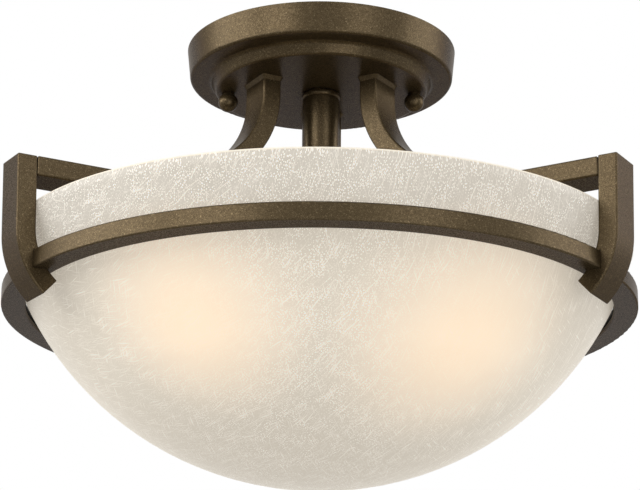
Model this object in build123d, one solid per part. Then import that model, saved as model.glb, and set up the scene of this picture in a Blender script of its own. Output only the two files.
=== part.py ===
from build123d import *
import os
from math import acos, atan2, cos, degrees, radians, sin, sqrt, tan

# A semi-flush ceiling light with a glass bowl, in millimetres.
# The origin is where the light's axis meets the ceiling. Z points up and the front faces -Y.
# Depths are measured downwards from the ceiling.

# Canopy, its step and its fixing to the ceiling
CANOPY_RADIUS = 72.2
CANOPY_TAPER = 1.7
CANOPY_WALL = 16.2
CANOPY_SHEET = 1.2
CANOPY_EDGE_ROUND = 1.6
STEP_LEDGE = 11.0
STEP_SLOPE = 3.1
STEP_HEIGHT = 6.5
COVE_ROUND = 2.6
PLATEAU_ROUND = 1.8
CROSSBAR_WIDTH = 20.0
CROSSBAR_SHEET = 2.0
CROSSBAR_DROP = 4.0
CROSSBAR_JOG = 2.1
CROSSBAR_END = 8.0
CROSSBAR_CENTRE_HOLE = 5.0
BOX_SCREW_SPACING = 69.85
BOX_SLOT_WIDTH = 4.6
BOX_SLOT_LENGTH = 12.0
BOX_SLOT_MARGIN = 3.0
STUD_INSET = 4.0
STUD_RADIUS = 2.05
STUD_HEAD_RADIUS = 3.6
STUD_HEAD_HEIGHT = 2.4
BALL_RADIUS = 5.3
BALL_NECK_RADIUS = 3.4
BALL_NECK_HEIGHT = 0.6
BALL_THREAD_DEPTH = 7.5
STUD_END_ROOM = 1.0
GROUND_SCREW_PLACE = 20.0
GROUND_SCREW_RADIUS = 1.75
GROUND_HEAD_RADIUS = 3.4
GROUND_HEAD_HEIGHT = 2.2

# Stem
STEM_RADIUS = 10.0
STEM_WALL = 1.2
COLLAR_RADIUS = 10.5
COLLAR_HEIGHT = 4.0
COLLAR_ROUND_SHARE = 0.475
NIPPLE_RADIUS = 4.8
NIPPLE_BORE = 3.3
NIPPLE_PROUD = 1.2
NUT_ACROSS_FLATS = 14.0
NUT_HEIGHT = 5.0
WASHER_RADIUS = 8.6
WASHER_THICKNESS = 1.2

# Bracket and the two lampholders, whose axes cross on the light's axis
BRACKET_DEPTH = 60.0
BRACKET_SHEET = 2.0
BRACKET_WIDTH = 32.0
BRACKET_BEND = 3.0
LAMP_TILT = 48.0
LAMP_CROSSING_DROP = 5.5
HOLDER_SETBACK = 24.0
HOLDER_ROOM = 0.68
HOLDER_WALL = 1.9
HOLDER_BACK = 8.0
HOLDER_LENGTH = 35.0
HOLDER_ROUND = 0.8
HOLDER_SCREW_OFFSET = 7.0
HOLDER_SCREW_RADIUS = 1.5
HOLDER_SCREW_HEAD_RADIUS = 2.6
HOLDER_SCREW_HEAD_HEIGHT = 1.8
WING_MARGIN = 8.0
SHELL_SHEET = 0.5
SHELL_FLANGE_ROOM = 0.6
SHELL_TURNS = 4
CONTACT_WIDTH = 5.0
CONTACT_HEIGHT = 3.9
CONTACT_SHEET = 0.5
CONTACT_PAD = 3.0

# Lamps with a medium screw base
THREAD_CREST_RADIUS = 13.0
THREAD_DEPTH = 0.8
THREAD_PITCH = 3.63
THREAD_TURNS = 5
THREAD_PLAY = 0.42
LAMP_LENGTH = 103.0
LAMP_GLOBE_RADIUS = 30.0
LAMP_NECK_RADIUS = 13.2
LAMP_NECK_LENGTH = 7.0
LAMP_GLASS_WALL = 0.9
LAMP_BASE_SHEET = 0.4
LAMP_COLLAR_LENGTH = 4.0
LAMP_TAIL_LENGTH = 12.0
EYELET_RADIUS = 4.5
EYELET_HEIGHT = 1.2
INSULATOR_HEIGHT = 3.8
STEM_GLASS_RADIUS = 3.5
STEM_GLASS_LENGTH = 30.0
FLARE_THICKNESS = 1.5
FILAMENT_WIRE = 0.4
FILAMENT_SPAN = 18.0
FILAMENT_REACH = 24.0
FILAMENT_ROOT = 2.0

# Leads and their fittings
LEAD_RADIUS = 0.9
LEAD_DROP = 5.0
LEAD_BEHIND_WING = 3.6
BLACK_TERMINAL = 6.0
BLACK_ANGLE = 135.0
WHITE_ANGLE = 45.0
BLACK_RUN_DEPTH = 8.5
WHITE_RUN_DEPTH = 5.2
BLACK_RUN = 8.0
WHITE_RUN = 9.0
CONNECTOR_RADIUS = 6.3
CONNECTOR_TIP_RADIUS = 4.4
CONNECTOR_LENGTH = 22.0
CONNECTOR_MOUTH_RADIUS = 4.2
CONNECTOR_MOUTH_DEPTH = 14.0
CONNECTOR_PLACE = 19.0
LUG_SHEET = 0.8
LUG_RING = 3.0
BARREL_RADIUS = 1.9
BARREL_LENGTH = 5.0
GROUND_LOOP = 11.0

# Arms: an upper bar bent from the canopy outwards, and an upright with a curled foot
ARM_NAMES = ("back", "left", "right")
ARM_START_ANGLE = 90.0
ARM_WIDTH = 21.0
ARM_THICKNESS = 10.2
ARM_EDGE_ROUND = 1.0
ARM_FOOT_HEIGHT = 2.2
ARM_FOOT_FLARE = 30.0
DROP_RADIUS = 34.9
DROP_LENGTH = 9.7
SWEEP_RADIUS = 50.0
SWEEP_SPLIT = 45.0
BAR_DEPTH = 95.75
UPRIGHT_OUTSET = 4.8
UPRIGHT_LEAN = 1.5
FOOT_RISE = 11.0
FOOT_RADIUS = 39.0
FOOT_TURN = 48.0
ARM_SCREW_SPACING = 11.0
ARM_SCREW_RADIUS = 2.0
ARM_SCREW_LENGTH = 9.0
ARM_SCREW_HEAD_RADIUS = 3.5
ARM_SCREW_HEAD_HEIGHT = 2.4
ARM_WASHER_RADIUS = 4.3
ARM_WASHER_THICKNESS = 0.8
DOWEL_RADIUS = 2.0
DOWEL_IN_BAR = 12.0
DOWEL_IN_UPRIGHT = 6.0
SET_SCREW_RADIUS = 2.0
SET_SCREW_PLACE = 7.0
SET_SCREW_KEY_RADIUS = 1.0
SET_SCREW_KEY_DEPTH = 1.3

# Ring, gasket and glass bowl
RING_RADIUS = 165.0
RING_WIDTH = 9.0
RING_DROP = 27.0
RING_HEIGHT = 9.1
RING_LIP = 3.4
RING_LIP_SHEET = 2.2
RING_ROUND = 0.8
GASKET_DROP = 0.4
GASKET_HEIGHT = 4.5
SEAT_ROOM = 1.3
RIM_DROP = 11.15
RIM_GAP = 0.45
RIM_TUCK = 1.3
RIM_BLEND = 8.0
RIM_ROUND = 1.8
BOWL_WALL = 4.5

# Clearances
THREAD_GAP = 0.06
HOLE_GAP = 0.3
SEAT_GAP = 0.1
GLASS_GAP = 0.3
BRAZE_GAP = 0.1

# How far a cutting tool runs past the piece that it cuts
CUT = 1.0

# Share of a wire's shorter run that each bend takes up
BEND_SHARE = 0.45


def rod(radius, low, high):
    """Solid cylinder on the Z axis between two heights."""
    return Pos(0, 0, low) * Cylinder(radius, high - low, align=(Align.CENTER, Align.CENTER, Align.MIN))


def tube(outer, inner, low, high):
    return rod(outer, low, high) - rod(inner, low - CUT, high + CUT)


def lathe(outline):
    """Turn a closed outline, radius across and height up, about the Z axis."""
    return revolve(Plane.XZ * make_face(outline), Axis.Z)


def slab(outline, width):
    """Closed outline in the XZ plane, thickened evenly to both sides of it."""
    return extrude(Plane.XZ * make_face(outline), width / 2, both=True)


def group(pieces):
    """Separate solids kept as one node."""
    solids = []
    for piece in pieces:
        solids.extend(piece.solids())
    return Compound(children=solids)


def lead(points, radius):
    """Round wire along straight runs joined by the largest bends that its runs allow."""
    corners = [Vector(*point) for point in points]
    bends = []
    for before, corner, after in zip(corners, corners[1:], corners[2:]):
        turn = radians((corner - before).get_angle(after - corner))
        run = min((corner - before).length, (after - corner).length)
        bends.append(BEND_SHARE * run * cos(turn / 2) / sin(turn / 2))
    path = FilletPolyline(*corners, radius=bends)
    print("lead bends", [round(bend, 1) for bend in bends], "length", round(path.length, 1))
    return sweep(Plane(origin=path @ 0, z_dir=path % 0) * Circle(radius), path=path)


# Heights and places that several pieces share
arm_angles = {name: ARM_START_ANGLE + index * 360 / len(ARM_NAMES) for index, name in enumerate(ARM_NAMES)}
canopy_depth = CANOPY_WALL + STEP_HEIGHT
step_radius = CANOPY_RADIUS - CANOPY_TAPER - STEP_LEDGE
canopy_floor = -canopy_depth + CANOPY_SHEET
crossbar_flat = BOX_SCREW_SPACING / 2 + BOX_SLOT_LENGTH / 2 + BOX_SLOT_MARGIN
stud_x = crossbar_flat + CROSSBAR_JOG + STUD_INSET
crossbar_low = -CROSSBAR_DROP - CROSSBAR_SHEET
lug_low = canopy_floor + WASHER_THICKNESS
top_nut_low = lug_low + LUG_SHEET
nipple_high = top_nut_low + NUT_HEIGHT + NIPPLE_PROUD
bracket_underside = -BRACKET_DEPTH - BRACKET_SHEET
bottom_nut_low = bracket_underside - WASHER_THICKNESS - NUT_HEIGHT
nipple_low = bottom_nut_low - NIPPLE_PROUD
stem_high = -canopy_depth - COLLAR_HEIGHT
bar_top = -BAR_DEPTH + ARM_THICKNESS / 2
holder_floor = HOLDER_SETBACK + HOLDER_BACK
lamp_tip = holder_floor + CONTACT_HEIGHT + SEAT_GAP
thread_start = lamp_tip + EYELET_HEIGHT + INSULATOR_HEIGHT
base_end = thread_start + THREAD_TURNS * THREAD_PITCH + LAMP_COLLAR_LENGTH
globe_centre = lamp_tip + LAMP_LENGTH - LAMP_GLOBE_RADIUS
tilt = radians(LAMP_TILT)
lamp_plane = Plane(
    origin=(0, 0, -BRACKET_DEPTH - LAMP_CROSSING_DROP),
    x_dir=(sin(tilt), 0, cos(tilt)),
    z_dir=(cos(tilt), 0, -sin(tilt)),
)
nut_circumradius = NUT_ACROSS_FLATS / sqrt(3)
shell_wall = THREAD_CREST_RADIUS + THREAD_PLAY
shell_flange = HOLDER_SCREW_OFFSET + HOLDER_SCREW_HEAD_RADIUS + SHELL_FLANGE_ROOM
holder_bore = shell_wall + SHELL_SHEET + HOLDER_ROOM
white_terminal = (shell_flange + shell_wall) / 2
contact_foot = shell_flange - 2 * SHELL_FLANGE_ROOM
lead_place = (NIPPLE_BORE - LEAD_RADIUS - HOLE_GAP) / sqrt(2)


def canopy_form(inset):
    """Stepped bowl of the canopy, drawn in by inset for its hollow."""
    wall_low = -CANOPY_WALL + inset
    floor = -canopy_depth + inset
    rim = (CANOPY_RADIUS - inset, 0)
    corners = [
        rim,
        (CANOPY_RADIUS - CANOPY_TAPER - inset, wall_low),
        (step_radius - inset, wall_low),
        (step_radius - STEP_SLOPE - inset, floor),
        (0, floor),
    ]
    rounds = [CANOPY_EDGE_ROUND - inset, COVE_ROUND + inset, PLATEAU_ROUND - inset]
    return lathe(FilletPolyline(*corners, radius=rounds) + Polyline((0, floor), (0, 0), rim))


def arm_screw_places():
    """Two screws side by side in the top of each arm."""
    places = []
    for angle in arm_angles.values():
        for side in (-1, 1):
            places.append(Rot(0, 0, angle) * Pos(DROP_RADIUS, side * ARM_SCREW_SPACING / 2, 0))
    return places


def make_canopy():
    shell = canopy_form(0) - canopy_form(CANOPY_SHEET)
    shell -= rod(NIPPLE_RADIUS + HOLE_GAP, -canopy_depth - CUT, 0)
    for x in (-stud_x, stud_x):
        shell -= Pos(x, 0, 0) * rod(STUD_RADIUS + HOLE_GAP, -canopy_depth - CUT, 0)
    for place in arm_screw_places():
        shell -= place * rod(ARM_SCREW_RADIUS + HOLE_GAP, -canopy_depth - CUT, 0)
    return shell


def make_crossbar():
    """Strap whose ends step down, so that the stud heads stay below the ceiling."""
    flat = crossbar_flat
    jog = flat + CROSSBAR_JOG
    end = stud_x + CROSSBAR_END
    inner = CROSSBAR_SHEET * CROSSBAR_JOG / (CROSSBAR_DROP + CROSSBAR_JOG)
    right = [(flat, 0), (jog, -CROSSBAR_DROP), (end, -CROSSBAR_DROP), (end, crossbar_low)]
    right += [(jog - inner, crossbar_low), (flat - inner, -CROSSBAR_SHEET)]
    left = [(-x, z) for x, z in reversed(right)]
    bar = slab(Polyline(*right, *left, close=True), CROSSBAR_WIDTH)
    slot = extrude(SlotOverall(BOX_SLOT_LENGTH, BOX_SLOT_WIDTH), CROSSBAR_SHEET + CUT, both=True)
    for side in (-1, 1):
        bar -= Pos(side * BOX_SCREW_SPACING / 2, 0, 0) * slot
        bar -= Pos(side * stud_x, 0, 0) * rod(STUD_RADIUS + THREAD_GAP, crossbar_low - CUT, 0)
    bar -= rod(CROSSBAR_CENTRE_HOLE, -CROSSBAR_SHEET - CUT, CUT)
    bar -= Pos(-GROUND_SCREW_PLACE, 0, 0) * rod(GROUND_SCREW_RADIUS + THREAD_GAP, -CROSSBAR_SHEET - CUT, CUT)
    return bar


ball_neck_top = -canopy_depth - SEAT_GAP
ball_centre = ball_neck_top - BALL_NECK_HEIGHT - sqrt(BALL_RADIUS**2 - BALL_NECK_RADIUS**2)
stud_low = ball_neck_top - BALL_THREAD_DEPTH + STUD_END_ROOM


def make_stud():
    head = rod(STUD_HEAD_RADIUS, -CROSSBAR_DROP, -CROSSBAR_DROP + STUD_HEAD_HEIGHT)
    return head + rod(STUD_RADIUS, stud_low, -CROSSBAR_DROP)


def make_ball_nut():
    ball = Pos(0, 0, ball_centre) * Sphere(BALL_RADIUS) + rod(BALL_NECK_RADIUS, ball_centre, ball_neck_top)
    return ball - rod(STUD_RADIUS + THREAD_GAP, ball_neck_top - BALL_THREAD_DEPTH, ball_neck_top + CUT)


def make_nut(low):
    blank = extrude(RegularPolygon(nut_circumradius, 6), NUT_HEIGHT)
    return Pos(0, 0, low) * blank - rod(NIPPLE_RADIUS + THREAD_GAP, low - CUT, low + NUT_HEIGHT + CUT)


def make_washer(low):
    return tube(WASHER_RADIUS, NIPPLE_RADIUS + THREAD_GAP, low, low + WASHER_THICKNESS)


def make_collar():
    collar = tube(COLLAR_RADIUS, NIPPLE_RADIUS + HOLE_GAP, stem_high, -canopy_depth)
    outer_edges = collar.edges().filter_by(GeomType.CIRCLE).sort_by(SortBy.RADIUS)[-2:]
    return fillet(outer_edges, COLLAR_ROUND_SHARE * COLLAR_HEIGHT)


def bracket_outline():
    """Top flat, two sides and two wings that face along the lamp axes, from right to left."""
    reach = HOLDER_SCREW_OFFSET + WING_MARGIN
    wing_high = lamp_plane.from_local_coords(Vector(reach, 0, HOLDER_SETBACK))
    wing_low = lamp_plane.from_local_coords(Vector(-reach, 0, HOLDER_SETBACK))
    right = [(wing_high.X, -BRACKET_DEPTH), (wing_high.X, wing_high.Z), (wing_low.X, wing_low.Z)]
    left = [(-x, z) for x, z in reversed(right)]
    return right + left


def make_bracket():
    form = make_face(FilletPolyline(*bracket_outline(), radius=BRACKET_BEND, close=True))
    strip = form - offset(form, -BRACKET_SHEET)
    bracket = extrude(Plane.XZ * strip, BRACKET_WIDTH / 2, both=True)
    bracket -= rod(NIPPLE_RADIUS + HOLE_GAP, bracket_underside - CUT, -BRACKET_DEPTH + CUT)
    wing_low = HOLDER_SETBACK - BRACKET_SHEET - CUT
    for turn in (0, 180):
        for side in (-1, 1):
            hole = rod(HOLDER_SCREW_RADIUS + THREAD_GAP, wing_low, holder_floor)
            bracket -= Rot(0, 0, turn) * lamp_plane.location * Pos(side * HOLDER_SCREW_OFFSET, 0, 0) * hole
        for place in (-BLACK_TERMINAL, white_terminal):
            passage = rod(LEAD_RADIUS + 2 * HOLE_GAP, wing_low, holder_floor)
            bracket -= Rot(0, 0, turn) * lamp_plane.location * Pos(0, place, 0) * passage
    return bracket


def make_holder_body():
    body = rod(holder_bore + HOLDER_WALL, HOLDER_SETBACK, HOLDER_SETBACK + HOLDER_LENGTH)
    body = fillet(body.edges().filter_by(GeomType.CIRCLE), HOLDER_ROUND)
    body -= rod(holder_bore, holder_floor, HOLDER_SETBACK + HOLDER_LENGTH + CUT)
    for side in (-1, 1):
        hole = rod(HOLDER_SCREW_RADIUS + HOLE_GAP, HOLDER_SETBACK - CUT, holder_floor + CUT)
        body -= Pos(side * HOLDER_SCREW_OFFSET, 0, 0) * hole
    for place in (-BLACK_TERMINAL, white_terminal):
        body -= Pos(0, place, 0) * rod(LEAD_RADIUS + HOLE_GAP, HOLDER_SETBACK - CUT, holder_floor + CUT)
    return body


def make_holder_screw(offset_x):
    head = rod(HOLDER_SCREW_HEAD_RADIUS, holder_floor, holder_floor + HOLDER_SCREW_HEAD_HEIGHT)
    shank = rod(HOLDER_SCREW_RADIUS, HOLDER_SETBACK - BRACKET_SHEET, holder_floor)
    return Pos(offset_x, 0, 0) * (head + shank)


def thread_wave(play, turns):
    """Ridges and grooves of the lamp thread, up the axis, moved outwards by play."""
    points = []
    for step in range(2 * turns + 1):
        depth = THREAD_DEPTH if step % 2 == 0 else 0
        points.append((THREAD_CREST_RADIUS - depth + play, thread_start + step * THREAD_PITCH / 2))
    return points


def make_holder_shell():
    inner = thread_wave(THREAD_PLAY, SHELL_TURNS)
    outer = thread_wave(THREAD_PLAY + SHELL_SHEET, SHELL_TURNS)
    flange_top = holder_floor + SHELL_SHEET
    wall_top = thread_start - THREAD_PITCH / 2
    flange = [(shell_flange, flange_top), (shell_flange, holder_floor)]
    outside = [(shell_wall + SHELL_SHEET, holder_floor), (shell_wall + SHELL_SHEET, wall_top)]
    inside = [(shell_wall, wall_top), (shell_wall, flange_top)]
    return lathe(Polyline(*flange, *outside, *outer, *reversed(inner), *inside, close=True))


def make_contact():
    """Springy tongue: a foot on the holder's floor and a raised pad under the lamp's eyelet."""
    top = holder_floor + CONTACT_HEIGHT
    foot_end = -BLACK_TERMINAL + LEAD_RADIUS + HOLE_GAP
    under = [(-contact_foot, holder_floor), (foot_end, holder_floor), (-CONTACT_PAD / 2, top - CONTACT_SHEET)]
    under += [(CONTACT_PAD, top - CONTACT_SHEET)]
    over = [(CONTACT_PAD, top), (-CONTACT_PAD / 2 - CONTACT_SHEET, top)]
    foot_top = holder_floor + CONTACT_SHEET
    over += [(foot_end - CONTACT_SHEET, foot_top), (-contact_foot, foot_top)]
    return extrude(Plane.YZ * make_face(Polyline(*under, *over, close=True)), CONTACT_WIDTH / 2, both=True)


def bulb_form(inset):
    """Globe, tangent cone and neck of the lamp glass."""
    globe = LAMP_GLOBE_RADIUS - inset
    neck = LAMP_NECK_RADIUS - inset
    neck_end = base_end + LAMP_NECK_LENGTH
    fall = globe_centre - neck_end
    around = atan2(-fall, neck) + acos(globe / sqrt(neck**2 + fall**2))
    tangent = (globe * cos(around), globe_centre + globe * sin(around))
    crown = Pos(0, 0, globe_centre) * Sphere(globe)
    cone = lathe(Polyline((0, neck_end), (neck, neck_end), tangent, (0, tangent[1]), close=True))
    return crown + cone + rod(neck, base_end + SEAT_GAP + inset, neck_end)


tail_radius = THREAD_CREST_RADIUS - THREAD_DEPTH - LAMP_BASE_SHEET - GLASS_GAP
tail_low = base_end - LAMP_TAIL_LENGTH
flare_low = tail_low + GLASS_GAP


def make_lamp_glass():
    outside = bulb_form(0) + rod(tail_radius, tail_low, base_end + LAMP_NECK_LENGTH)
    bore = rod(tail_radius - LAMP_GLASS_WALL, tail_low - CUT, base_end + LAMP_NECK_LENGTH)
    return outside - bulb_form(LAMP_GLASS_WALL) - bore


def make_lamp_base():
    outer = thread_wave(0, THREAD_TURNS)
    inner = thread_wave(-LAMP_BASE_SHEET, THREAD_TURNS)
    collar = THREAD_CREST_RADIUS - THREAD_DEPTH
    top = [(collar, base_end), (collar - LAMP_BASE_SHEET, base_end)]
    return lathe(Polyline(*outer, *top, *reversed(inner), close=True))


def make_insulator():
    low = lamp_tip + EYELET_HEIGHT
    wide = THREAD_CREST_RADIUS - THREAD_DEPTH - LAMP_BASE_SHEET
    section = [(0, low), (EYELET_RADIUS, low), (wide, thread_start), (0, thread_start)]
    return lathe(Polyline(*section, close=True))


def make_eyelet():
    eyelet = rod(EYELET_RADIUS, lamp_tip, lamp_tip + EYELET_HEIGHT)
    return fillet(eyelet.edges().sort_by(Axis.Z)[0], EYELET_HEIGHT / 2)


def make_lamp_stem():
    flare = rod(tail_radius - LAMP_GLASS_WALL - SEAT_GAP, flare_low, flare_low + FLARE_THICKNESS)
    return flare + rod(STEM_GLASS_RADIUS, flare_low, flare_low + STEM_GLASS_LENGTH)


def make_filament():
    """Two support wires and the arched filament between them."""
    low = flare_low + STEM_GLASS_LENGTH
    high = low + FILAMENT_REACH
    root = STEM_GLASS_RADIUS / 2
    half = FILAMENT_SPAN / 2
    right = [(half, 0, high), (root, 0, low + FILAMENT_ROOT), (root, 0, low)]
    left = [(-x, y, z) for x, y, z in reversed(right)]
    path = FilletPolyline(*left, *right, radius=FILAMENT_ROOT)
    return sweep(Plane(origin=path @ 0, z_dir=path % 0) * Circle(FILAMENT_WIRE), path=path)


# The glass rim hangs just below the bars and just inside the uprights, which stand over the ring.
# The bowl is part of a sphere through two circles, one inside the ring and one at the rim.
lean = radians(UPRIGHT_LEAN)
rim_depth = BAR_DEPTH + ARM_THICKNESS / 2 + RIM_DROP
ring_depth = rim_depth + RING_DROP
upright_length = (ring_depth - FOOT_RISE + bar_top) / cos(lean)
upright_radius = RING_RADIUS + UPRIGHT_OUTSET
upright_inside = upright_radius - ARM_THICKNESS / 2 / cos(lean) - (rim_depth + bar_top) * tan(lean)
rim_radius = upright_inside - RIM_GAP
seat_circle = RING_RADIUS - RING_WIDTH - SEAT_ROOM
rim_circle = rim_radius + RIM_TUCK
bowl_centre = (seat_circle**2 - rim_circle**2 + ring_depth**2 - rim_depth**2) / (2 * (ring_depth - rim_depth))
bowl_radius = sqrt(seat_circle**2 + (ring_depth - bowl_centre) ** 2)
print("bowl sphere radius", round(bowl_radius, 2), "centre depth", round(bowl_centre, 2))
bar_end = upright_radius - ARM_THICKNESS / 2 / cos(lean) - ARM_THICKNESS * sin(lean) - SEAT_GAP
dowel_line = Plane(origin=(bar_end, 0, -BAR_DEPTH), x_dir=(0, 1, 0), z_dir=(1, 0, 0)).location


def upper_arm_path():
    """Down from the canopy, round two tangent bends and out along the bar."""
    split = radians(SWEEP_SPLIT)
    start = (DROP_RADIUS, -canopy_depth)
    bend = -canopy_depth - DROP_LENGTH
    wide_radius = (BAR_DEPTH + bend - SWEEP_RADIUS * sin(split)) / (1 - sin(split))
    drop = Line(start, (DROP_RADIUS, bend))
    tight = JernArc(drop @ 1, drop % 1, SWEEP_RADIUS, SWEEP_SPLIT)
    wide = JernArc(tight @ 1, tight % 1, wide_radius, 90 - SWEEP_SPLIT)
    return drop + tight + wide + Line(wide @ 1, (bar_end, -BAR_DEPTH))


def arm_section(path):
    """Rounded bar section, square to the start of an arm's path."""
    start = path @ 0
    section = RectangleRounded(ARM_THICKNESS, ARM_WIDTH, ARM_EDGE_ROUND)
    return Plane(origin=start, x_dir=(0, 1, 0), z_dir=path % 0).rotated((0, 0, 90)) * section


def make_arm_foot():
    """Low flare of an upper arm where it stands against the canopy."""
    section = RectangleRounded(ARM_THICKNESS, ARM_WIDTH, ARM_EDGE_ROUND)
    flare = extrude(section, ARM_FOOT_HEIGHT, taper=-ARM_FOOT_FLARE)
    return Pos(DROP_RADIUS, 0, -canopy_depth - ARM_FOOT_HEIGHT) * flare


def make_upper_arm():
    path = Plane.XZ * Wire(upper_arm_path().edges())
    arm = sweep(arm_section(path), path=path)
    end_face = arm.faces().sort_by(Axis.X)[-1]
    arm = chamfer(end_face.edges(), ARM_EDGE_ROUND / 2)
    arm += make_arm_foot()
    for side in (-1, 1):
        hole = rod(ARM_SCREW_RADIUS + THREAD_GAP, -canopy_depth - ARM_SCREW_LENGTH, -canopy_depth + CUT)
        arm -= Pos(DROP_RADIUS, side * ARM_SCREW_SPACING / 2, 0) * hole
    arm -= dowel_line * rod(DOWEL_RADIUS + THREAD_GAP, -DOWEL_IN_BAR - SEAT_GAP, CUT)
    set_screw_hole = rod(SET_SCREW_RADIUS + THREAD_GAP, -BAR_DEPTH, bar_top + CUT)
    arm -= Pos(bar_end - SET_SCREW_PLACE, 0, 0) * set_screw_hole
    return arm


def ring_form(gap):
    """Band of the ring and the lip at its lower edge, grown by gap for the notch that it lies in."""
    low = -ring_depth - RING_HEIGHT - gap
    inside = RING_RADIUS - RING_WIDTH - gap
    band = tube(RING_RADIUS + gap, inside, low, -ring_depth + gap)
    return band + tube(RING_RADIUS + gap, inside - RING_LIP, low, low + RING_LIP_SHEET + 2 * gap)


def make_outer_arm():
    """Upright that leans in a little, its curled foot and the notch for the ring."""
    low = (upright_radius - upright_length * sin(lean), bar_top - upright_length * cos(lean))
    upright = Line((upright_radius, bar_top), low)
    foot = JernArc(upright @ 1, upright % 1, FOOT_RADIUS, -FOOT_TURN)
    path = Plane.XZ * Wire((upright + foot).edges())
    arm = sweep(arm_section(path), path=path)
    ends = [arm.faces().sort_by(Axis.Z)[-1], arm.faces().sort_by(Axis.X)[0]]
    arm = fillet([edge for face in ends for edge in face.edges()], ARM_EDGE_ROUND / 2)
    arm -= dowel_line * rod(DOWEL_RADIUS + THREAD_GAP, -CUT, DOWEL_IN_UPRIGHT)
    return arm - ring_form(BRAZE_GAP)


def make_dowel():
    return dowel_line * rod(DOWEL_RADIUS, -DOWEL_IN_BAR, DOWEL_IN_UPRIGHT - SEAT_GAP)


def make_set_screw():
    low = -BAR_DEPTH + DOWEL_RADIUS + SEAT_GAP
    key = extrude(RegularPolygon(SET_SCREW_KEY_RADIUS, 6), SET_SCREW_KEY_DEPTH + CUT)
    screw = rod(SET_SCREW_RADIUS, low, bar_top) - Pos(0, 0, bar_top - SET_SCREW_KEY_DEPTH) * key
    return Pos(bar_end - SET_SCREW_PLACE, 0, 0) * screw


def make_arm_screw():
    seat = canopy_floor + ARM_WASHER_THICKNESS
    head = rod(ARM_SCREW_HEAD_RADIUS, seat, seat + ARM_SCREW_HEAD_HEIGHT)
    return head + rod(ARM_SCREW_RADIUS, seat - ARM_SCREW_LENGTH, seat)


def make_arm_washer():
    high = canopy_floor + ARM_WASHER_THICKNESS
    return tube(ARM_WASHER_RADIUS, ARM_SCREW_RADIUS + HOLE_GAP, canopy_floor, high)


def make_ring():
    ring = ring_form(0)
    hidden_corner = RING_RADIUS - RING_WIDTH
    corners = ring.edges().filter_by(GeomType.CIRCLE)
    top_inside = -ring_depth - RING_LIP_SHEET
    rounded = [edge for edge in corners if abs(edge.radius - hidden_corner) > CUT or edge.center().Z > top_inside]
    return fillet(rounded, RING_ROUND)


def bowl_form(inset):
    """Part of a sphere that bends into an upright rim, drawn in by inset for its hollow."""
    sphere = bowl_radius - inset
    rim = rim_radius - inset
    blend = RIM_BLEND - inset
    blend_fall = sqrt((sphere - blend) ** 2 - (rim - blend) ** 2)
    blend_height = -bowl_centre - blend_fall
    rise = 90 - degrees(atan2(blend_fall, rim - blend))
    belly = CenterArc((0, -bowl_centre), sphere, -90, rise)
    shoulder = CenterArc((rim - blend, blend_height), blend, rise - 90, 90 - rise)
    side = Polyline((rim, blend_height), (rim, -rim_depth), (0, -rim_depth), (0, -bowl_centre - sphere))
    return lathe(belly + shoulder + side)


def make_bowl():
    bowl = bowl_form(0) - bowl_form(BOWL_WALL)
    rim_edges = bowl.edges().filter_by(GeomType.CIRCLE).sort_by(Axis.Z)[-2:]
    return fillet(rim_edges, RIM_ROUND)


def make_gasket():
    """Soft wedge between the ring's inner face and the glass."""
    high = -ring_depth - GASKET_DROP
    low = high - GASKET_HEIGHT
    seat = Pos(0, 0, -bowl_centre) * Sphere(bowl_radius + GLASS_GAP)
    return rod(RING_RADIUS - RING_WIDTH - BRAZE_GAP, low, high) - seat


def make_lug(hole, ring, side):
    """Ring terminal with a barrel for the lead, above its sheet for side 1 and below it for side -1."""
    axis_height = LUG_SHEET / 2 + side * (BARREL_RADIUS - LUG_SHEET / 2)
    tab = Pos(0, -ring, LUG_SHEET / 2) * Box(2 * BARREL_RADIUS, 2 * BARREL_LENGTH, LUG_SHEET)
    barrel = Pos(0, -ring - BARREL_LENGTH, axis_height) * Rot(90, 0, 0) * rod(BARREL_RADIUS, 0, BARREL_LENGTH)
    return rod(ring, 0, LUG_SHEET) + tab + barrel - rod(hole + THREAD_GAP, -CUT, LUG_SHEET + CUT)


crossbar_lug_low = -CROSSBAR_SHEET - LUG_SHEET
crossbar_lug_ring = GROUND_SCREW_RADIUS + LUG_RING


def make_ground_lugs():
    """One terminal under the stem's top nut and one under the ground screw's head."""
    floor_lug = Pos(0, 0, lug_low) * make_lug(NIPPLE_RADIUS, WASHER_RADIUS, 1)
    crossbar_lug = make_lug(GROUND_SCREW_RADIUS, crossbar_lug_ring, -1)
    return [floor_lug, Pos(-GROUND_SCREW_PLACE, 0, crossbar_lug_low) * crossbar_lug]


def make_ground_screw():
    head = rod(GROUND_HEAD_RADIUS, crossbar_lug_low - GROUND_HEAD_HEIGHT, crossbar_lug_low)
    return Pos(-GROUND_SCREW_PLACE, 0, 0) * (head + rod(GROUND_SCREW_RADIUS, crossbar_lug_low, 0))


def make_ground_lead():
    """From the lug on the canopy floor out, up and back to the lug under the crossbar."""
    low = Vector(0, -WASHER_RADIUS - 2 * BARREL_LENGTH, lug_low + BARREL_RADIUS)
    high_y = -crossbar_lug_ring - 2 * BARREL_LENGTH
    high = Vector(-GROUND_SCREW_PLACE, high_y, -CROSSBAR_SHEET - BARREL_RADIUS)
    low_turn = low - Vector(0, GROUND_LOOP, 0)
    high_turn = Vector(high.X, low_turn.Y, high.Z)
    return lead([low, low_turn, high_turn, high], LEAD_RADIUS)


connector_height = canopy_floor + CONNECTOR_RADIUS + SEAT_GAP


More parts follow.
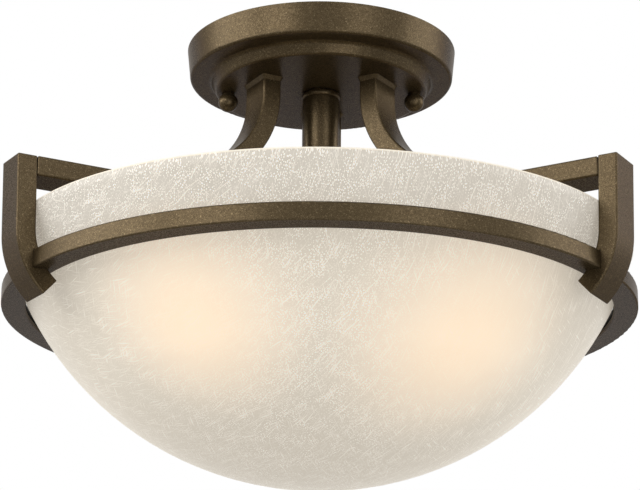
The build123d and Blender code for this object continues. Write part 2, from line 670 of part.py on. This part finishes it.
def make_connector(angle):
    """Twist-on connector lying on the canopy floor, its mouth towards the stem."""
    mouth = [(0, 0), (CONNECTOR_RADIUS, 0)]
    tip = [(CONNECTOR_TIP_RADIUS, CONNECTOR_LENGTH), (0, CONNECTOR_LENGTH)]
    cone = lathe(Polyline(*mouth, *tip, close=True))
    cone -= rod(CONNECTOR_MOUTH_RADIUS, -CUT, CONNECTOR_MOUTH_DEPTH)
    return Rot(0, 0, angle) * Pos(CONNECTOR_PLACE, 0, connector_height) * Rot(0, 90, 0) * cone


def make_lamp_lead(turn, terminal, connector_angle, run_depth, run_length):
    """From a holder's terminal through the bracket and the stem to a connector in the canopy."""
    wing_inside = HOLDER_SETBACK - BRACKET_SHEET - LEAD_BEHIND_WING
    points = [lamp_plane.from_local_coords(Vector(0, terminal, s)) for s in (holder_floor, wing_inside)]
    bore_y = lead_place if terminal < 0 else -lead_place
    points.append(Vector(lead_place, bore_y, nipple_low - LEAD_DROP))
    points.append(Vector(lead_place, bore_y, -run_depth))
    points = [point.rotate(Axis.Z, turn) for point in points]
    out = Vector(1, 0, 0).rotate(Axis.Z, connector_angle)
    beside = Vector(points[-1].X, points[-1].Y, 0)
    beside -= out * beside.dot(out)
    mouth = CONNECTOR_PLACE - LEAD_RADIUS
    points.append(beside + out * run_length - Vector(0, 0, run_depth))
    points.append(beside + out * mouth + Vector(0, 0, connector_height))
    points.append(beside + out * (mouth + CONNECTOR_MOUTH_DEPTH) + Vector(0, 0, connector_height))
    return lead(points, LEAD_RADIUS)


nodes = {
    "canopy": make_canopy(),
    "crossbar": make_crossbar(),
    "canopy_studs": group([Pos(x, 0, 0) * make_stud() for x in (-stud_x, stud_x)]),
    "ball_nut_left": Pos(-stud_x, 0, 0) * make_ball_nut(),
    "ball_nut_right": Pos(stud_x, 0, 0) * make_ball_nut(),
    "ground_screw": make_ground_screw(),
    "ground_lugs": group(make_ground_lugs()),
    "ground_lead": make_ground_lead(),
    "stem_nipple": tube(NIPPLE_RADIUS, NIPPLE_BORE, nipple_low, nipple_high),
    "nipple_nuts": group([make_nut(top_nut_low), make_nut(bottom_nut_low)]),
    "nipple_washers": group([make_washer(canopy_floor), make_washer(bracket_underside - WASHER_THICKNESS)]),
    "stem_collar": make_collar(),
    "stem_tube": tube(STEM_RADIUS, STEM_RADIUS - STEM_WALL, -BRACKET_DEPTH, stem_high),
    "lamp_bracket": make_bracket(),
    "wire_connectors": group([make_connector(BLACK_ANGLE), make_connector(WHITE_ANGLE)]),
    "arm_screws": group([place * make_arm_screw() for place in arm_screw_places()]),
    "arm_washers": group([place * make_arm_washer() for place in arm_screw_places()]),
    "arm_dowels": group([Rot(0, 0, angle) * make_dowel() for angle in arm_angles.values()]),
    "arm_set_screws": group([Rot(0, 0, angle) * make_set_screw() for angle in arm_angles.values()]),
    "ring_band": make_ring(),
    "seat_gasket": make_gasket(),
    "glass_bowl": make_bowl(),
}

upper_arm = make_upper_arm()
outer_arm = make_outer_arm()
for name, angle in arm_angles.items():
    nodes["upper_arm_" + name] = Rot(0, 0, angle) * upper_arm
    nodes["outer_arm_" + name] = Rot(0, 0, angle) * outer_arm

lamp_pieces = {
    "holder_body": make_holder_body(),
    "holder_shell": make_holder_shell(),
    "holder_contact": make_contact(),
    "lamp_glass": make_lamp_glass(),
    "lamp_base": make_lamp_base(),
    "lamp_insulator": make_insulator(),
    "lamp_eyelet": make_eyelet(),
    "lamp_stem": make_lamp_stem(),
    "lamp_filament": make_filament(),
}
holder_screws = []
black_leads = []
white_leads = []
for side, turn in (("right", 0), ("left", 180)):
    place = Rot(0, 0, turn) * lamp_plane.location
    for name, piece in lamp_pieces.items():
        nodes[name + "_" + side] = place * piece
    for offset_x in (-HOLDER_SCREW_OFFSET, HOLDER_SCREW_OFFSET):
        holder_screws.append(place * make_holder_screw(offset_x))
    black_leads.append(make_lamp_lead(turn, -BLACK_TERMINAL, BLACK_ANGLE, BLACK_RUN_DEPTH, BLACK_RUN))
    white_leads.append(make_lamp_lead(turn, white_terminal, WHITE_ANGLE, WHITE_RUN_DEPTH, WHITE_RUN))
nodes["holder_screws"] = group(holder_screws)
nodes["black_leads"] = group(black_leads)
nodes["white_leads"] = group(white_leads)

os.makedirs("parts", exist_ok=True)
for name, shape in nodes.items():
    export_step(shape, "parts/" + name + ".step")
print("nodes", len(nodes))
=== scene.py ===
# %% [markdown]
# # A glass ceiling light, dressed for its portrait
# The light is a shallow glass bowl that lies in a metal ring. Three bent bars hold the ring under a
# round canopy. Its solids come ready-made from the CAD model, in metres, with the ceiling at height
# zero. The scene only dresses them: it never moves a solid, so that the joints keep working.

# %% Load the CAD model
import math

import bpy
from mathutils import Matrix, Vector


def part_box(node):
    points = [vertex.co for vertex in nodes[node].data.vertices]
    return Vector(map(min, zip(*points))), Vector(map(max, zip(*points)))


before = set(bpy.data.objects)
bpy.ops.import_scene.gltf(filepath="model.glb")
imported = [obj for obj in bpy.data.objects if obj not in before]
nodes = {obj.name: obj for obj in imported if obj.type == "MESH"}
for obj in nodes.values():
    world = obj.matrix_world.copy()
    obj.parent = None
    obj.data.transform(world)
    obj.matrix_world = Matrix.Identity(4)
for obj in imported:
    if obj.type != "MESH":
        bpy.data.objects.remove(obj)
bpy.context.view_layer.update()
scene = bpy.context.scene
scene.view_settings.view_transform = "Standard"

# %% [markdown]
# ## The camera
# The photo was taken from about a metre away and from below the bowl, looking up at it through a long
# lens. A long lens keeps the ring's ellipse flat. The turn and the roll are both small: the arms sit a
# little to the left of the middle and the stem a little to the right of it.

# %% Camera
LENS = 126.4
SENSOR_WIDTH = 36.0
STAND_BACK = 1.130
STAND_LOW = -0.4655
LOOK_UP = math.radians(17.56)
TURN = math.radians(1.1)
ROLL = math.radians(0.40)

camera_data = bpy.data.cameras.new("portrait_camera")
camera_data.lens = LENS
camera_data.sensor_width = SENSOR_WIDTH
camera = bpy.data.objects.new("portrait_camera", camera_data)
scene.collection.objects.link(camera)
around = Matrix.Rotation(TURN, 4, "Z")
tilt = Matrix.Rotation(math.radians(90) + LOOK_UP, 4, "X")
stand = Matrix.Translation((0, -STAND_BACK, STAND_LOW))
camera.matrix_world = around @ stand @ tilt @ Matrix.Rotation(ROLL, 4, "Z")
scene.camera = camera
print("camera at", [round(x, 3) for x in camera.matrix_world.translation])

# %% [markdown]
# ## Small helpers for nodes
# Every finish here is worked out by nodes from the place on the piece, so no picture is needed and the
# detail keeps its real size. The first helpers add a node and join values, and serve the world too.

# %% Node helpers


def add(tree, kind, sockets=None, **settings):
    """New node with these socket values and node settings."""
    made = tree.nodes.new("ShaderNode" + kind)
    for key, value in settings.items():
        setattr(made, key, value)
    for key, value in (sockets or {}).items():
        made.inputs[key].default_value = value
    return made


def combine(tree, operation, values):
    """Largest, product or sum of several values."""
    total = values[0]
    for value in values[1:]:
        made = add(tree, "Math", operation=operation)
        tree.links.new(total, made.inputs[0])
        tree.links.new(value, made.inputs[1])
        total = made.outputs[0]
    return total


def seen_directly(tree):
    """One for what the camera sees, straight on or by way of metal and glass, and else nothing."""
    ray = add(tree, "LightPath")
    kinds = ("Is Camera Ray", "Is Glossy Ray", "Is Transmission Ray")
    return combine(tree, "MAXIMUM", [ray.outputs[kind] for kind in kinds])


# %% [markdown]
# The other helpers make a material, turn a value into colours or another range, and put a finish on
# CAD nodes. They keep the cells below short.

# %% Material helpers


def material(name):
    """New material, its node tree and its main shader."""
    made = bpy.data.materials.new(name)
    made.use_nodes = True
    return made, made.node_tree, made.node_tree.nodes["Principled BSDF"]


def ramp(tree, source, *stops):
    """Colour ramp through stops of (place, colour), fed by a socket."""
    made = add(tree, "ValToRGB")
    bands = made.color_ramp.elements
    while len(bands) < len(stops):
        bands.new(0.5)
    for band, (spot, colour) in zip(bands, stops):
        band.position = spot
        band.color = (*colour, 1)
    tree.links.new(source, made.inputs["Fac"])
    return made.outputs["Color"]


def spread(tree, source, low, high, to_low=0.0, to_high=1.0, **settings):
    """Stretch a value from one range to another, and stop at both ends."""
    ends = {"From Min": low, "From Max": high, "To Min": to_low, "To Max": to_high}
    made = add(tree, "MapRange", ends, **settings)
    tree.links.new(source, made.inputs["Value"])
    return made.outputs["Result"]


def on_piece(tree):
    """Place on the piece in metres, which moves with the piece."""
    return add(tree, "TexCoord").outputs["Object"]


def noise(tree, where, scale, detail=2.0):
    """Soft noise with that many cells a metre."""
    made = add(tree, "TexNoise", {"Scale": scale, "Detail": detail})
    tree.links.new(where, made.inputs["Vector"])
    return made.outputs["Fac"]


def bump(tree, shader, source, strength, height):
    made = add(tree, "Bump", {"Strength": strength, "Distance": height})
    tree.links.new(source, made.inputs["Height"])
    tree.links.new(made.outputs["Normal"], shader.inputs["Normal"])


def dress(finish, *names):
    """Give CAD nodes a finish in place of the plain one that they came with."""
    for name in names:
        mesh = nodes[name].data
        mesh.materials.clear()
        mesh.materials.append(finish)
        for face in mesh.polygons:
            face.material_index = 0
    print(finish.name, "on", ", ".join(names))


# %% [markdown]
# ## A white studio
# The photo has a plain white ground. A world that is white to the camera, to reflections and to glass
# gives that without more light on the object. Diffuse light comes from the same world at a lower level
# and from softboxes.

# %% World
FILL = 0.15
world = bpy.data.worlds.new("white_studio")
world.use_nodes = True
scene.world = world
sky = world.node_tree
seen = sky.nodes["Background"]
seen.inputs["Color"].default_value = (1, 1, 1, 1)
seen.inputs["Strength"].default_value = 1.0
fill = add(sky, "Background", {"Color": (0.98, 0.98, 1.0, 1), "Strength": FILL})
choose = add(sky, "MixShader")
sky.links.new(seen_directly(sky), choose.inputs[0])
sky.links.new(fill.outputs[0], choose.inputs[1])
sky.links.new(seen.outputs[0], choose.inputs[2])
sky.links.new(choose.outputs[0], sky.nodes["World Output"].inputs["Surface"])
print("world nodes:", len(sky.nodes))

# %% [markdown]
# ## Softboxes
# The ring is round, so each softbox shows in it as one broad patch of sheen. In the photo the left half
# of the ring is bright, its middle and right half are dim, and a last narrow patch lies far right. So
# two softboxes stand on the left, a weaker pair on the right, one low in front fills in, and a weak one
# hangs above. Nothing shines straight up, so that undersides stay dark.

# %% Softboxes
AIM = Vector((0, 0, -0.12))


def softbox(name, spot, width, height, watts, colour):
    """Rectangular light that faces the bowl."""
    data = bpy.data.lights.new(name, "AREA")
    data.shape = "RECTANGLE"
    data.size = width
    data.size_y = height
    data.energy = watts
    data.color = colour
    lamp = bpy.data.objects.new(name, data)
    scene.collection.objects.link(lamp)
    lamp.location = spot
    lamp.rotation_euler = (AIM - Vector(spot)).to_track_quat("-Z", "Y").to_euler()


softbox("softbox_left", (-1.38, -0.30, 0.34), 1.2, 0.65, 10.0, (1.0, 0.98, 0.95))
softbox("softbox_front_left", (-0.85, -1.20, 0.40), 0.7, 0.6, 5.4, (1.0, 0.97, 0.93))
softbox("softbox_right", (1.40, 0.15, 0.38), 1.0, 0.9, 7.4, (1.0, 0.98, 0.96))
softbox("softbox_front_right", (0.80, -1.20, 0.34), 0.6, 0.5, 2.0, (1.0, 0.97, 0.93))
softbox("softbox_front", (0.60, -1.4, -0.55), 0.8, 0.6, 3.8, (1.0, 0.97, 0.92))
softbox("softbox_top", (0.0, 0.2, 1.3), 1.2, 1.2, 3.0, (1.0, 1.0, 1.0))

# %% [markdown]
# ## Floor
# A ceiling light has its floor far below it. The floor stays out of the portrait and shows in views
# from above. The softboxes hardly reach it, so it gives off some light of its own, which only the
# camera and reflections see.

# %% Floor
FLOOR = -1.4
FLOOR_WIDTH = 14.0
FLOOR_GLOW = 0.50
bpy.ops.mesh.primitive_grid_add(
    x_subdivisions=8, y_subdivisions=8, size=FLOOR_WIDTH, location=(0, 0, FLOOR)
)
floor = bpy.context.object
floor.name = "studio_floor"
floor_paint, tree, shader = material("studio_floor_paint")
cloud = noise(tree, on_piece(tree), 3.0)
pale = ramp(tree, cloud, (0.3, (0.82, 0.82, 0.82)), (0.7, (0.88, 0.88, 0.88)))
tree.links.new(pale, shader.inputs["Base Color"])
shader.inputs["Roughness"].default_value = 0.9
shader.inputs["Emission Color"].default_value = (1, 1, 1, 1)
floor_glow = spread(tree, seen_directly(tree), 0.0, 1.0, 0.0, FLOOR_GLOW)
tree.links.new(floor_glow, shader.inputs["Emission Strength"])
floor.data.materials.append(floor_paint)
print("floor at", FLOOR)

# %% [markdown]
# ## Bronze paint
# The bars, ring, stem and canopy are steel with a sprayed bronze finish: dark brown paint full of fine
# gold flakes under a satin lacquer. A picture of paint would stretch over the bends, so the flakes are
# cells of a Voronoi texture, about a quarter of a millimetre across. Each cell gets its own brightness,
# and a soft noise lets them gather in clouds.

# %% Bronze paint
FLAKES_PER_METRE = 3800.0
FLAKE_CLOUDS_PER_METRE = 900.0
bronze, tree, shader = material("bronze_paint")
where = on_piece(tree)
flakes = add(tree, "TexVoronoi", {"Scale": FLAKES_PER_METRE})
tree.links.new(where, flakes.inputs["Vector"])
one_flake = add(tree, "SeparateColor")
tree.links.new(flakes.outputs["Color"], one_flake.inputs["Color"])
flake_clouds = spread(tree, noise(tree, where, FLAKE_CLOUDS_PER_METRE), 0.25, 0.75, 0.75, 1.10)
glint = combine(tree, "MULTIPLY", [one_flake.outputs["Red"], flake_clouds])
brown = ramp(
    tree,
    glint,
    (0.0, (0.050, 0.035, 0.017)),
    (0.5, (0.075, 0.053, 0.026)),
    (0.85, (0.118, 0.086, 0.045)),
    (1.0, (0.230, 0.176, 0.102)),
)
tree.links.new(brown, shader.inputs["Base Color"])
tree.links.new(spread(tree, glint, 0.0, 1.0, 0.38, 0.30), shader.inputs["Roughness"])
shader.inputs["Metallic"].default_value = 0.55
shader.inputs["Specular IOR Level"].default_value = 0.08
shader.inputs["Specular Tint"].default_value = (0.25, 0.20, 0.15, 1)
shader.inputs["Coat Weight"].default_value = 0.14
shader.inputs["Coat Roughness"].default_value = 0.30

ARMS = [part + side for part in ("upper_arm_", "outer_arm_") for side in ("left", "right", "back")]
dress(bronze, "canopy", "stem_collar", "stem_tube", "ring_band", *ARMS)
dress(bronze, "ball_nut_left", "ball_nut_right")

# %% [markdown]
# ## Linen glass
# The bowl starts as a flat sheet of glass with white threads and flecks melted into it, which then
# sinks into a mould. So the threads lie as on a flat sheet, and that sheet is wrapped round the bowl.
# The place on the sheet is the place seen from above, drawn out a little with the height, because the
# way along a bowl is longer than its shadow.

# %% Place on the sheet
SHEET_DRAW = 1.33
bowl_low, bowl_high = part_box("glass_bowl")
rim_top = bowl_high.z
linen, tree, shader = material("linen_glass")
where = on_piece(tree)
spot = add(tree, "SeparateXYZ")
tree.links.new(where, spot.inputs[0])
drawn = spread(tree, spot.outputs["Z"], bowl_low.z, rim_top, 1.0, SHEET_DRAW)
sheet = add(tree, "VectorMath", operation="SCALE")
tree.links.new(where, sheet.inputs[0])
tree.links.new(drawn, sheet.inputs["Scale"])
print("bowl from", round(bowl_low.z, 4), "to", round(rim_top, 4))

# %% [markdown]
# Threads are the peaks of a noise with long thin cells. Without finer detail in the noise they stay
# straight. Most lean to the right, as in the photo, and a few cross them. Each set has its direction in
# degrees, and the length and width of its cells.

# %% Threads
THREADS = [
    (-50, 0.0210, 0.00060),
    (-62, 0.0190, 0.00055),
    (-38, 0.0180, 0.00060),
    (-105, 0.0130, 0.00060),
]
THREAD_EDGE = (0.74, 0.92)


def stretched(tree, turn, length, width):
    """Place on the sheet, in cells of that length and width along a direction."""
    cells = add(tree, "Mapping", vector_type="TEXTURE")
    cells.inputs["Rotation"].default_value = (0, 0, math.radians(turn))
    cells.inputs["Scale"].default_value = (length, width, 1)
    tree.links.new(sheet.outputs[0], cells.inputs["Vector"])
    return cells.outputs["Vector"]


def thread(tree, turn, length, width):
    cells = add(tree, "TexNoise", {"Scale": 1.0, "Detail": 0.0}, noise_dimensions="2D")
    tree.links.new(stretched(tree, turn, length, width), cells.inputs["Vector"])
    return spread(tree, cells.outputs["Fac"], *THREAD_EDGE)


all_threads = combine(tree, "MAXIMUM", [thread(tree, *kind) for kind in THREADS])
print("thread sets:", len(THREADS))

# %% [markdown]
# Flecks are small dots, one in a cell of a Voronoi texture. Not every cell has its dot, and the dots
# gather in loose clouds.

# %% Flecks
FLECKS = [(-45, 0.0015, 0.0010), (-80, 0.0013, 0.0010)]
FLECK_EDGE = (0.27, 0.17)
FLECK_CHANCE = (0.45, 0.60)
FLECK_CLOUDS_PER_METRE = 150.0


def fleck(tree, turn, length, width):
    cells = add(tree, "TexVoronoi", {"Scale": 1.0}, voronoi_dimensions="2D")
    tree.links.new(stretched(tree, turn, length, width), cells.inputs["Vector"])
    chance = add(tree, "SeparateColor")
    tree.links.new(cells.outputs["Color"], chance.inputs["Color"])
    dot = spread(tree, cells.outputs["Distance"], *FLECK_EDGE)
    return combine(tree, "MULTIPLY", [dot, spread(tree, chance.outputs["Red"], *FLECK_CHANCE)])


fleck_clouds = spread(tree, noise(tree, where, FLECK_CLOUDS_PER_METRE), 0.36, 0.56, 0.25, 1.0)
dots = combine(tree, "MAXIMUM", [fleck(tree, *kind) for kind in FLECKS])
all_flecks = combine(tree, "MULTIPLY", [dots, fleck_clouds])
print("fleck sets:", len(FLECKS))

# %% [markdown]
# In the photo the lamps are on, and one soft warm spot shows in front of each. The back of the bowl has
# the same spots as the front, so the place is folded to the front half first. Each spot has its centre
# and its reach.

# %% Spots of lamplight
GLOW_CORE = 0.006
GLOW_SPOTS = [((-0.058, -0.114, -0.181), 0.070), ((0.071, -0.099, -0.187), 0.080)]

behind = add(tree, "Math", operation="ABSOLUTE")
tree.links.new(spot.outputs["Y"], behind.inputs[0])
in_front = add(tree, "Math", {1: -1.0}, operation="MULTIPLY")
tree.links.new(behind.outputs[0], in_front.inputs[0])
folded = add(tree, "CombineXYZ")
for axis, place in enumerate((spot.outputs["X"], in_front.outputs[0], spot.outputs["Z"])):
    tree.links.new(place, folded.inputs[axis])


def soft_spot(tree, centre, reach):
    """One at the centre of a spot, and nothing past its reach."""
    gap = add(tree, "VectorMath", {1: centre}, operation="DISTANCE")
    tree.links.new(folded.outputs[0], gap.inputs[0])
    return spread(tree, gap.outputs["Value"], reach, GLOW_CORE, interpolation_type="SMOOTHSTEP")


spots = combine(tree, "MAXIMUM", [soft_spot(tree, *kind) for kind in GLOW_SPOTS])
print("glow spots:", len(GLOW_SPOTS))

# %% [markdown]
# Near a spot the threads drown in the light, and below the ring the flecks keep to the middle of the
# bowl. Above the ring they are everywhere.

# %% Where threads and flecks show
DROWNED = 0.15
MIDDLE = (0.03, 0.10)
FLECKS_AT_SIDES = 0.25

away = spread(tree, spots, 0.0, 0.75, 1.0, DROWNED)
ring_low, ring_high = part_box("ring_band")
above_ring = spread(tree, spot.outputs["Z"], ring_low.z, ring_high.z)
sideways = add(tree, "Math", operation="ABSOLUTE")
tree.links.new(spot.outputs["X"], sideways.inputs[0])
middle = spread(tree, sideways.outputs[0], *MIDDLE, 1.0, FLECKS_AT_SIDES)
fleck_field = combine(tree, "MAXIMUM", [above_ring, middle])
threads = combine(tree, "MULTIPLY", [all_threads, away])
flecks = combine(tree, "MULTIPLY", [all_flecks, away, fleck_field])
print("ring from", round(ring_low.z, 4), "to", round(ring_high.z, 4))

# %% [markdown]
# Above the ring no lamp shines behind the glass, so there the ground is painted a cool unlit grey and
# the flecks stand out white.
# Below the ring the lamps fill the glass with warm light, painted into the ground, threads and flecks,
# so that they are closer to the ground in colour. The polished, rounded edge of the rim has a plain
# cream line, a painted highlight.

# %% Colour of the glass
RIM_HIGHLIGHT_DEPTHS = (0.0016, 0.0008)
FLECK_HEIGHT = 0.0003


def blend(tree, share, first, second):
    """Mix two colours, or colour sockets, by a share socket."""
    made = add(tree, "Mix", data_type="RGBA")
    tree.links.new(share, made.inputs["Factor"])
    colour_sockets = [socket for socket in made.inputs if socket.type == "RGBA"]
    for socket, value in zip(colour_sockets, (first, second)):
        if isinstance(value, tuple):
            socket.default_value = (*value, 1)
        else:
            tree.links.new(value, socket)
    return next(socket for socket in made.outputs if socket.type == "RGBA")


cloud = noise(tree, where, 45.0, 3.0)
# Painted lamplight and painted shade: one glass, as a warm lamplit ground below the ring and a cool
# unlit ground above it.
lamplit_ground = ramp(tree, cloud, (0.3, (0.38, 0.35, 0.29)), (0.7, (0.41, 0.38, 0.32)))
unlit_ground = ramp(tree, cloud, (0.3, (0.34, 0.33, 0.305)), (0.7, (0.40, 0.39, 0.365)))
warm_threads = blend(tree, threads, lamplit_ground, (0.66, 0.64, 0.59))
warm_cloth = blend(tree, flecks, warm_threads, (0.80, 0.79, 0.75))
cool_threads = blend(tree, threads, unlit_ground, (0.66, 0.65, 0.62))
cool_cloth = blend(tree, flecks, cool_threads, (0.98, 0.98, 0.96))
cloth = blend(tree, above_ring, warm_cloth, cool_cloth)
# Painted highlight: a cream line just under the top of the rim, along its polished rounded edge.
rim_highlight = spread(tree, spot.outputs["Z"], *[rim_top - depth for depth in RIM_HIGHLIGHT_DEPTHS])
tree.links.new(blend(tree, rim_highlight, cloth, (0.80, 0.75, 0.63)), shader.inputs["Base Color"])
tree.links.new(spread(tree, flecks, 0.0, 1.0, 0.42, 0.55), shader.inputs["Roughness"])
shader.inputs["Specular IOR Level"].default_value = 0.3
bump(tree, shader, flecks, 0.08, FLECK_HEIGHT)
print("glass nodes:", len(tree.nodes))

# %% [markdown]
# ## Lamplight in the glass
# White glass spreads the light of the lamps so far that the whole bowl glows a little. Tracing that
# light through the glass would be slow and grainy, so the glass gives off the light itself: a weak even
# glow that fades towards both sides, more near each spot, and a little more where a thread or fleck
# catches it. The inner face gives off less, so that the canopy above it stays as dark as in the photo.

# %% Lamplight in the glass
EVEN_GLOW = [(0.0, 0.36), (0.4, 0.49), (0.72, 0.44), (0.85, 0.40)]
FADE_FROM = 0.10
SIDE_GLOW = 0.71
INNER_GLOW = 0.35
SKIN = 0.02
SPOT_GLOW = 0.30
CAUGHT_GLOW = 1.22

up_the_bowl = spread(tree, spot.outputs["Z"], bowl_low.z, rim_top)
even = ramp(tree, up_the_bowl, *[(share, (glow,) * 3) for share, glow in EVEN_GLOW])
fade = spread(tree, sideways.outputs[0], FADE_FROM, bowl_high.x, 1.0, SIDE_GLOW)
hot = spread(tree, spots, 0.0, 1.0, 0.0, SPOT_GLOW)
lit = combine(tree, "ADD", [combine(tree, "MULTIPLY", [even, fade]), hot])
caught = spread(tree, combine(tree, "MAXIMUM", [threads, flecks]), 0.0, 1.0, 1.0, CAUGHT_GLOW)
outwards = add(tree, "VectorMath", operation="DOT_PRODUCT")
tree.links.new(add(tree, "TexCoord").outputs["Normal"], outwards.inputs[0])
tree.links.new(where, outwards.inputs[1])
skin = spread(tree, outwards.outputs["Value"], -SKIN, SKIN, INNER_GLOW, 1.0)
lamplight = combine(tree, "MULTIPLY", [lit, caught, skin])
tree.links.new(lamplight, shader.inputs["Emission Strength"])
warmth = blend(tree, spots, (1.0, 0.905, 0.76), (1.0, 0.785, 0.57))
tree.links.new(warmth, shader.inputs["Emission Color"])
dress(linen, "glass_bowl")

# %% [markdown]
# ## Plain finishes
# Inside the canopy and the bowl sit parts that only show from above: plated steel, brass, porcelain,
# wire and glass. Each has a finish of the same make, with two colours that a noise mixes, a range of
# roughness and a little bump. So one function makes them all, from a row of a table: name, dark and
# light colour, cells a metre, roughness, how metallic it is, and how far the cells are pulled.

# %% Plain finishes
GRAIN_HEIGHT = 0.0001
PLAIN_FINISHES = [
    ("zinc_steel", (0.50, 0.50, 0.48), (0.68, 0.68, 0.66), 160.0, (0.30, 0.46), 1.0, (1, 6, 1)),
    ("brass", (0.66, 0.48, 0.20), (0.82, 0.64, 0.32), 220.0, (0.22, 0.36), 1.0),
    ("black_steel", (0.025, 0.025, 0.026), (0.055, 0.053, 0.050), 500.0, (0.42, 0.6), 0.3),
    ("green_screw", (0.03, 0.22, 0.07), (0.06, 0.34, 0.12), 400.0, (0.3, 0.45), 0.5),
    ("porcelain", (0.80, 0.79, 0.75), (0.88, 0.87, 0.84), 90.0, (0.12, 0.20)),
    ("gasket_rubber", (0.035, 0.032, 0.028), (0.06, 0.055, 0.05), 600.0, (0.6, 0.8)),
    ("connector_plastic", (0.62, 0.22, 0.04), (0.75, 0.30, 0.06), 300.0, (0.40, 0.55)),
    ("black_insulation", (0.02, 0.02, 0.02), (0.045, 0.045, 0.045), 350.0, (0.4, 0.55)),
    ("white_insulation", (0.74, 0.74, 0.71), (0.84, 0.84, 0.81), 350.0, (0.4, 0.55)),
    ("green_insulation", (0.04, 0.24, 0.07), (0.07, 0.33, 0.11), 350.0, (0.4, 0.55)),
    ("lamp_base_metal", (0.62, 0.62, 0.60), (0.76, 0.76, 0.74), 260.0, (0.25, 0.40), 1.0),
    ("black_glass", (0.012, 0.012, 0.013), (0.03, 0.03, 0.03), 200.0, (0.08, 0.16)),
    ("filament_wire", (0.34, 0.32, 0.30), (0.48, 0.45, 0.42), 900.0, (0.35, 0.5), 1.0),
    ("clear_lamp_glass", (0.93, 0.95, 0.95), (0.97, 0.98, 0.98), 60.0, (0.02, 0.06)),
    ("frosted_lamp_glass", (0.88, 0.85, 0.79), (0.95, 0.92, 0.87), 140.0, (0.5, 0.65)),
]


def plain_finish(name, dark, light, grain, rough, metallic=0.0, pull=(1, 1, 1)):
    """Finish whose colour and roughness wander between two values."""
    made, tree, shader = material(name)
    pulled = add(tree, "Mapping", {"Scale": pull})
    tree.links.new(on_piece(tree), pulled.inputs["Vector"])
    cells = noise(tree, pulled.outputs["Vector"], grain, 4.0)
    tree.links.new(ramp(tree, cells, (0.3, dark), (0.7, light)), shader.inputs["Base Color"])
    tree.links.new(spread(tree, cells, 0.3, 0.7, *rough), shader.inputs["Roughness"])
    shader.inputs["Metallic"].default_value = metallic
    bump(tree, shader, cells, 0.2, GRAIN_HEIGHT)
    return made, shader


finishes, shaders = {}, {}
for row in PLAIN_FINISHES:
    finishes[row[0]], shaders[row[0]] = plain_finish(*row)
print("plain finishes:", len(finishes))

# %% [markdown]
# Three of them need something more: porcelain has a clear glaze, the lamp's inner stem is clear glass,
# and the frosted lamp is lit.

# %% Glaze, clear glass and lit lamp
shaders["porcelain"].inputs["Coat Weight"].default_value = 0.5
shaders["clear_lamp_glass"].inputs["Transmission Weight"].default_value = 0.9
shaders["clear_lamp_glass"].inputs["IOR"].default_value = 1.5
shaders["frosted_lamp_glass"].inputs["Emission Color"].default_value = (1.0, 0.86, 0.64, 1)
shaders["frosted_lamp_glass"].inputs["Emission Strength"].default_value = 0.5
print("lamp glow:", shaders["frosted_lamp_glass"].inputs["Emission Strength"].default_value)

# %% [markdown]
# Every inner part then gets its finish. Lamps and holders come in pairs, so a helper names both sides.

# %% Dress the inner parts


def pairs(*parts):
    """Left and right node of each part."""
    return [part + side for part in parts for side in ("_left", "_right")]


steel_screws = ["canopy_studs", "arm_screws", "arm_washers", "arm_dowels", "holder_screws"]
steel_stem = ["crossbar", "stem_nipple", "nipple_nuts", "nipple_washers", "lamp_bracket"]
WORN_BY = {
    "zinc_steel": steel_screws + steel_stem,
    "black_steel": ["arm_set_screws"],
    "green_screw": ["ground_screw"],
    "brass": ["ground_lugs", *pairs("holder_shell", "holder_contact", "lamp_eyelet")],
    "porcelain": pairs("holder_body"),
    "gasket_rubber": ["seat_gasket"],
    "connector_plastic": ["wire_connectors"],
    "black_insulation": ["black_leads"],
    "white_insulation": ["white_leads"],
    "green_insulation": ["ground_lead"],
    "lamp_base_metal": pairs("lamp_base"),
    "black_glass": pairs("lamp_insulator"),
    "filament_wire": pairs("lamp_filament"),
    "clear_lamp_glass": pairs("lamp_stem"),
    "frosted_lamp_glass": pairs("lamp_glass"),
}
for finish_name, parts in WORN_BY.items():
    dress(finishes[finish_name], *parts)
